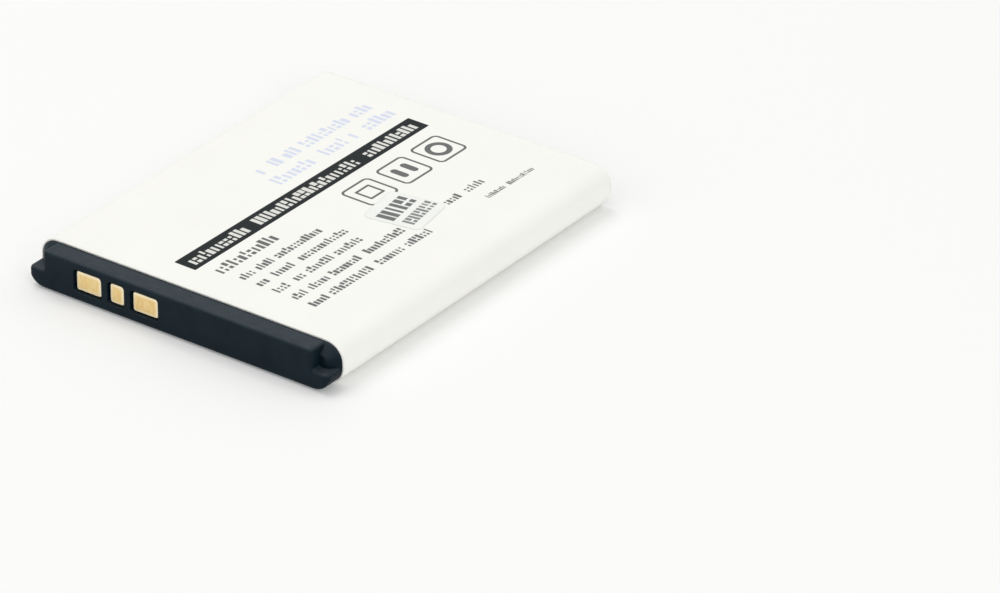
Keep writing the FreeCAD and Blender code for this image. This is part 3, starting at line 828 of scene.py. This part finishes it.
def circuit_board_material():
    """Green solder resist over copper tracks, with bare cut edges."""
    material, nodes, shader = new_material("Circuit Board", Coat_Weight=0.3, Coat_Roughness=0.15)
    low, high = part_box("protection_board")
    place = nodes.millimetres()
    across, along, up = nodes.split(place)
    tracks = nodes.add("ShaderNodeTexBrick", {
        "Vector": nodes.add("ShaderNodeCombineXYZ", {"X": across, "Y": up}).outputs[0],
        "Scale": 1.0, "Mortar Size": 0.11, "Mortar Smooth": 0.15, "Brick Width": 2.4,
        "Row Height": 0.8}).outputs["Fac"]
    off_middle = nodes.distance(along, (low.y + high.y) / 2 / MM)
    core = nodes.math("LESS_THAN", off_middle, (high.y - low.y) / 2 / MM - RESIST_THICKNESS)
    grain = surface_grain(nodes, place, grain_size=0.15, patch_size=2.0)
    colour = nodes.mix(grain["Patches"], RESIST, RESIST_LIGHT)
    colour = nodes.mix(tracks, colour, TRACK)
    colour = nodes.mix(core, colour, BOARD_CORE)
    rough = nodes.between(grain["Shade"], 0.25, 0.38)
    height = nodes.more(grain["Height"], tracks, 0.6)
    finish_surface(nodes, shader, colour, rough, height, depth=0.02 * MM, strength=0.6)
    return material


def package_material(name, node):
    """Dark moulded body, tinned near two ends of its box."""
    material, nodes, shader = new_material(name)
    low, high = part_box(node)
    axis = 0 if node == "mosfet_pair" else 2
    place = nodes.millimetres()
    tinned = near_ends(nodes, nodes.split(place)[axis], low[axis], high[axis], BODY_TERMINAL)
    grain = surface_grain(nodes, place, grain_size=0.08, patch_size=1.5)
    body = nodes.mix(grain["Patches"], EPOXY, EPOXY_LIGHT)
    nodes.feed(shader.inputs["Metallic"], tinned)
    rough = nodes.between(grain["Shade"], 0.38, 0.55)
    finish_surface(nodes, shader, nodes.mix(tinned, body, BODY_TIN), rough, grain["Height"],
                   depth=0.015 * MM, strength=0.7)
    return material


def chip_material(name, node, body_colour):
    """Fired ceramic body between two tinned end terminals."""
    material, nodes, shader = new_material(name)
    low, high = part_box(node)
    place = nodes.millimetres()
    tinned = near_ends(nodes, nodes.split(place)[0], low.x, high.x, CHIP_TERMINAL)
    grain = surface_grain(nodes, place, grain_size=0.05, patch_size=0.8)
    body = nodes.mix(grain["Patches"], body_colour, shaded(body_colour, 0.8))
    nodes.feed(shader.inputs["Metallic"], tinned)
    rough = nodes.between(grain["Shade"], 0.28, 0.42)
    finish_surface(nodes, shader, nodes.mix(tinned, body, CHIP_TIN), rough, grain["Height"],
                   depth=0.01 * MM, strength=0.6)
    return material


def soft_sheet_material(name, colour, cell_size, roughness):
    """Fibrous or foamed sheet: insulators, gasket and pad."""
    material, nodes, shader = new_material(name)
    place = nodes.millimetres()
    cells = nodes.add("ShaderNodeTexVoronoi", {
        "Vector": place, "Scale": 1.0 / cell_size}).outputs["Distance"]
    grain = surface_grain(nodes, place, grain_size=cell_size, patch_size=3.0)
    darker = shaded(colour, 0.78)
    base = nodes.mix(nodes.ramp(cells, 0.1, 0.7), darker, colour)
    base = nodes.mix(nodes.times(grain["Patches"], 0.3), base, darker)
    rough = nodes.between(grain["Shade"], roughness - 0.08, roughness + 0.06)
    finish_surface(nodes, shader, base, rough, cells, depth=0.03 * MM, strength=0.8)
    return material


# Operators

FILM_ROUND_SEGMENTS = 14
FILM_CUTS_ALONG = 44
FILM_CUTS_ACROSS = 35
JOINT_LINES = (-0.25 * MM, 0.0, 0.25 * MM)
RIPPLE_SIZE = 5.0 * MM
CONTACT_SEGMENTS = 6
SMOOTH_ANGLE = 40


class BATTERY_OT_printed_film(bpy.types.Operator):
    """Model the printed film that wraps the pack"""
    bl_idname = "battery.printed_film"
    bl_label = "Printed Film"

    def execute(self, context):
        sizes = context.scene.battery_sizes
        film = new_block("printed_film", FILM_LOW, FILM_HIGH)
        pick(film, "FACE", lambda centre, normal: abs(normal.y) > FACING)
        bpy.ops.mesh.delete(type="ONLY_FACE")
        pick(film, "EDGE", runs_along(1))
        bpy.ops.mesh.bevel(offset=sizes.film_edge_radius, segments=FILM_ROUND_SEGMENTS,
                           affect="EDGES")
        pick(film, "EDGE", runs_along(1))
        bpy.ops.mesh.subdivide(number_cuts=FILM_CUTS_ALONG)
        pick(film, "EDGE", runs_along(0, least=10 * MM))
        bpy.ops.mesh.subdivide(number_cuts=FILM_CUTS_ACROSS)
        leave_edit()
        self.open_seam(film, sizes.film_seam_gap)
        for joint in (sizes.skirt_joint, sizes.end_joint):
            self.sink_over_joint(film, joint, sizes.film_dip)
        self.ripple(film, sizes.film_ripple)
        apply_modifier(film, "SOLIDIFY", thickness=sizes.film_thickness, offset=-1.0,
                       use_even_offset=True)
        for end in (FILM_LOW.y, FILM_HIGH.y):
            self.trim_end(film, end)
        smooth(film, SMOOTH_ANGLE)
        dress(film, printed_film_material(context.scene.battery_colours))
        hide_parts("label_wrap")
        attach(film, "root")
        return {"FINISHED"}

    def open_seam(self, film, gap):
        """Takes out the narrow strip between the film's two edges, down the left side."""
        middle = (FILM_LOW.z + FILM_HIGH.z) / 2

        def on_left(centre, normal):
            return normal.x < -FACING

        def in_gap(centre, normal):
            return on_left(centre, normal) and abs(centre.z - middle) < gap / 2

        for side in (-1, 1):
            cut_across(film, (0, 0, middle + side * gap / 2), (0, 0, 1), on_left)
        pick(film, "FACE", in_gap)
        bpy.ops.mesh.delete(type="FACE")
        leave_edit()

    def sink_over_joint(self, film, joint, dip):
        """Draws the film in a little where two pieces under it meet."""
        for shift in JOINT_LINES:
            cut_across(film, (0, joint + shift, 0), (0, 1, 0))
        middle = Vector((0, joint, (FILM_LOW.z + FILM_HIGH.z) / 2))
        half = (FILM_HIGH - FILM_LOW) / 2
        pick(film, "VERT", lambda place: abs(place.y - joint) < SAME_PLACE)
        bpy.ops.transform.resize(value=(1 - dip / half.x, 1, 1 - dip / half.z),
                                 center_override=middle)
        leave_edit()

    def trim_end(self, film, end):
        """Brings the film's cut end back to one plane."""
        pick(film, "VERT", lambda place: abs(place.y - end) < SAME_PLACE)
        bpy.ops.transform.resize(value=(1, 0, 1), center_override=(0, end, 0))
        leave_edit()

    def ripple(self, film, depth):
        """Slight unevenness of stretched film, always inwards."""
        clouds = bpy.data.textures.new("Film Ripple", "CLOUDS")
        clouds.noise_scale = RIPPLE_SIZE
        clouds.noise_depth = 1
        apply_modifier(film, "DISPLACE", texture=clouds, strength=depth, mid_level=1.0,
                       texture_coords="LOCAL")


class BATTERY_OT_contact_plates(bpy.types.Operator):
    """Model the three gold-plated contacts behind the windows"""
    bl_idname = "battery.contact_plates"
    bl_label = "Contact Plates"

    def execute(self, context):
        sizes = context.scene.battery_sizes
        for name, node in CONTACTS.items():
            low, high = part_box(node)
            plate = new_block(name, low, high)
            pick(plate, "EDGE", runs_along(1))
            bpy.ops.mesh.bevel(offset=sizes.contact_corner, segments=CONTACT_SEGMENTS,
                               affect="EDGES")
            front = low.y
            pick(plate, "EDGE", lambda one, two: max(one.y, two.y) < front + SAME_PLACE)
            bpy.ops.mesh.bevel(offset=sizes.contact_roll, segments=CONTACT_SEGMENTS,
                               affect="EDGES")
            leave_edit()
            smooth(plate, SMOOTH_ANGLE)
            finish = name.replace("_", " ").title() + " Gold"
            dress(plate, gold_plate_material(finish, node, context.scene.battery_colours))
            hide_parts(node)
            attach(plate, "root")
        return {"FINISHED"}


class BATTERY_OT_sticker_finish(bpy.types.Operator):
    """Finish the small sticker on the printed face"""
    bl_idname = "battery.sticker_finish"
    bl_label = "Sticker"

    def execute(self, context):
        finish_node("inspection_sticker", sticker_material(context.scene.battery_colours))
        return {"FINISHED"}


class BATTERY_OT_cap_finish(bpy.types.Operator):
    """Finish the two moulded caps"""
    bl_idname = "battery.cap_finish"
    bl_label = "Moulded Caps"

    def execute(self, context):
        colours = context.scene.battery_colours
        for node in ("contact_cap", "end_cap"):
            name = node.replace("_", " ").title() + " Plastic"
            finish_node(node, moulded_plastic_material(name, node, colours))
        return {"FINISHED"}


class BATTERY_OT_cell_finish(bpy.types.Operator):
    """Finish the cell, its terminal, its plug, its insulator and the adhesive pad"""
    bl_idname = "battery.cell_finish"
    bl_label = "Cell"

    def execute(self, context):
        aluminium = drawn_metal_material("Drawn Aluminium", (0.74, 0.75, 0.76), grain_along=1,
                                         roughness=0.34)
        for node in ("cell_can", "fill_hole_plug"):
            finish_node(node, aluminium)
        # Each sheet: its node, and the name, colour, cell size and roughness of its finish
        sheets = (("terminal_gasket", "Gasket", (0.05, 0.06, 0.09), 0.12, 0.5),
                  ("lid_insulator", "Insulator", (0.50, 0.34, 0.12), 0.1, 0.55),
                  ("end_adhesive_pad", "Foam Pad", (0.78, 0.78, 0.75), 0.2, 0.85))
        for node, *finish in sheets:
            finish_node(node, soft_sheet_material(*finish))
        return {"FINISHED"}


class BATTERY_OT_strip_finish(bpy.types.Operator):
    """Finish the welded strips, the rivet and the thermal cut-off"""
    bl_idname = "battery.strip_finish"
    bl_label = "Strips and Cut-off"

    def execute(self, context):
        nickel = drawn_metal_material("Nickel Strip", (0.62, 0.60, 0.55), grain_along=0,
                                      roughness=0.3, spots=0.9)
        for node in ("positive_tab", "negative_tab", "board_tab"):
            finish_node(node, nickel)
        rivet = drawn_metal_material("Rivet", (0.66, 0.64, 0.60), grain_along=2, roughness=0.36)
        finish_node("terminal_rivet", rivet)
        finish_node("thermal_cutoff", package_material("Cut-off Body", "thermal_cutoff"))
        return {"FINISHED"}


class BATTERY_OT_board_finish(bpy.types.Operator):
    """Finish the protection board and the parts on it"""
    bl_idname = "battery.board_finish"
    bl_label = "Protection Board"

    def execute(self, context):
        finish_node("protection_board", circuit_board_material())
        for node in ("mosfet_pair", "protection_ic"):
            finish_node(node, package_material(node.replace("_", " ").title() + " Body", node))
        resistor, capacitor = (0.03, 0.03, 0.035), (0.40, 0.29, 0.19)
        chips = {"sense_resistor": resistor, "supply_resistor": resistor,
                 "identification_resistor": resistor, "supply_capacitor": capacitor,
                 "bypass_capacitor": capacitor}
        for node, colour in chips.items():
            finish_node(node, chip_material(node.replace("_", " ").title(), node, colour))
        return {"FINISHED"}


FLOOR_SIZE = 4.0
FLOOR_COLOUR = (0.962, 0.960, 0.942, 1.0)
FLOOR_WHITE_SHARE = 0.16
SKY_COLOUR = (0.97, 0.985, 1.0, 1.0)
# Each lamp: its place, its size and its colour
KEY_LAMP = ((-0.30, 0.06, 0.72), 0.50, (1.0, 0.985, 0.955))
FILL_LAMP = ((0.55, -0.28, 0.34), 0.40, (0.98, 0.99, 1.0))


class BATTERY_OT_studio(bpy.types.Operator):
    """Set the pale floor, the lamps, the surroundings and the camera"""
    bl_idname = "battery.studio"
    bl_label = "Studio"

    def execute(self, context):
        studio = context.scene.battery_studio
        self.floor()
        self.surroundings(studio)
        self.lamp("Key", studio.key_power, *KEY_LAMP)
        self.lamp("Fill", studio.fill_power, *FILL_LAMP)
        self.camera(studio)
        context.scene.view_settings.view_transform = "Standard"
        return {"FINISHED"}

    def floor(self):
        deselect_all()
        bpy.ops.mesh.primitive_plane_add(size=FLOOR_SIZE, location=(0, 0, 0))
        floor = bpy.context.object
        floor.name = "studio_floor"
        material, nodes, shader = new_material("Studio Floor", Base_Color=FLOOR_COLOUR,
                                               Roughness=0.6, Specular_IOR_Level=0.2)
        output = material.node_tree.nodes["Material Output"]
        white = nodes.add("ShaderNodeEmission", {"Color": (1, 1, 1, 1), "Strength": 1.0})
        seen = nodes.add("ShaderNodeLightPath").outputs["Is Camera Ray"]
        share = nodes.times(seen, FLOOR_WHITE_SHARE)
        blend = nodes.add("ShaderNodeMixShader", {"Fac": share})
        nodes.feed(blend.inputs[1], shader.outputs[0])
        nodes.feed(blend.inputs[2], white.outputs[0])
        nodes.feed(output.inputs["Surface"], blend.outputs[0])
        dress(floor, material)

    def surroundings(self, studio):
        world = bpy.data.worlds.new("Studio Surroundings")
        bpy.context.scene.world = world
        world.use_nodes = True
        nodes = Nodes(world.node_tree)
        path = nodes.add("ShaderNodeLightPath").outputs
        seen = nodes.most(path["Is Camera Ray"], path["Is Transmission Ray"],
                          path["Is Glossy Ray"])
        background = world.node_tree.nodes["Background"]
        nodes.feed(background.inputs["Color"], SKY_COLOUR)
        nodes.feed(background.inputs["Strength"], nodes.between(seen, studio.sky_level, 1.0))

    def lamp(self, name, power, place, size, colour):
        light = bpy.data.lights.new(name, "AREA")
        light.shape = "SQUARE"
        light.size = size
        light.energy = power
        light.color = colour
        lamp = bpy.data.objects.new(name, light)
        bpy.context.scene.collection.objects.link(lamp)
        lamp.location = place
        lamp.rotation_euler = (-Vector(place)).to_track_quat("-Z", "Y").to_euler()

    def camera(self, studio):
        """A camera at the photograph's viewing angle, from its direction, distance and roll."""
        back = Vector((math.sin(studio.azimuth) * math.cos(studio.elevation),
                       -math.cos(studio.azimuth) * math.cos(studio.elevation),
                       math.sin(studio.elevation)))
        level = Vector((math.cos(studio.azimuth), math.sin(studio.azimuth), 0))
        upright = back.cross(level)
        right = level * math.cos(studio.roll) + upright * math.sin(studio.roll)
        up = upright * math.cos(studio.roll) - level * math.sin(studio.roll)
        camera = bpy.data.cameras.new("Camera")
        camera.lens = studio.focal_length
        camera.sensor_width = 36.0
        camera.clip_start = 0.01
        camera.clip_end = 10.0
        mount = bpy.data.objects.new("Camera", camera)
        bpy.context.scene.collection.objects.link(mount)
        turn = Matrix((right, up, back)).transposed().to_4x4()
        place = Vector(studio.target) + back * studio.distance
        mount.matrix_world = Matrix.Translation(place) @ turn
        bpy.context.scene.camera = mount


class BATTERY_PT_builder(bpy.types.Panel):
    bl_label = "Phone Battery"
    bl_idname = "BATTERY_PT_builder"
    bl_space_type = "VIEW_3D"
    bl_region_type = "UI"
    bl_category = "Battery"

    def draw(self, context):
        for operator in OPERATORS:
            self.layout.operator(operator.bl_idname)
        for label in ("battery_sizes", "battery_colours", "battery_studio"):
            group = getattr(context.scene, label)
            box = self.layout.box()
            for name in group.__annotations__:
                box.prop(group, name)


SETTINGS = {"battery_sizes": BatterySizes, "battery_colours": BatteryColours,
            "battery_studio": BatteryStudio}
OPERATORS = (BATTERY_OT_printed_film, BATTERY_OT_contact_plates, BATTERY_OT_sticker_finish,
             BATTERY_OT_cap_finish, BATTERY_OT_cell_finish, BATTERY_OT_strip_finish,
             BATTERY_OT_board_finish, BATTERY_OT_studio)


def register():
    for made in (*SETTINGS.values(), *OPERATORS, BATTERY_PT_builder):
        bpy.utils.register_class(made)
    for name, group in SETTINGS.items():
        setattr(bpy.types.Scene, name, bpy.props.PointerProperty(type=group))


def unregister():
    for name in SETTINGS:
        delattr(bpy.types.Scene, name)
    for made in (BATTERY_PT_builder, *reversed(OPERATORS), *reversed(list(SETTINGS.values()))):
        bpy.utils.unregister_class(made)


def main():
    register()
    for operator in OPERATORS:
        family, name = operator.bl_idname.split(".")
        getattr(getattr(bpy.ops, family), name)()


if __name__ == "__main__":
    main()
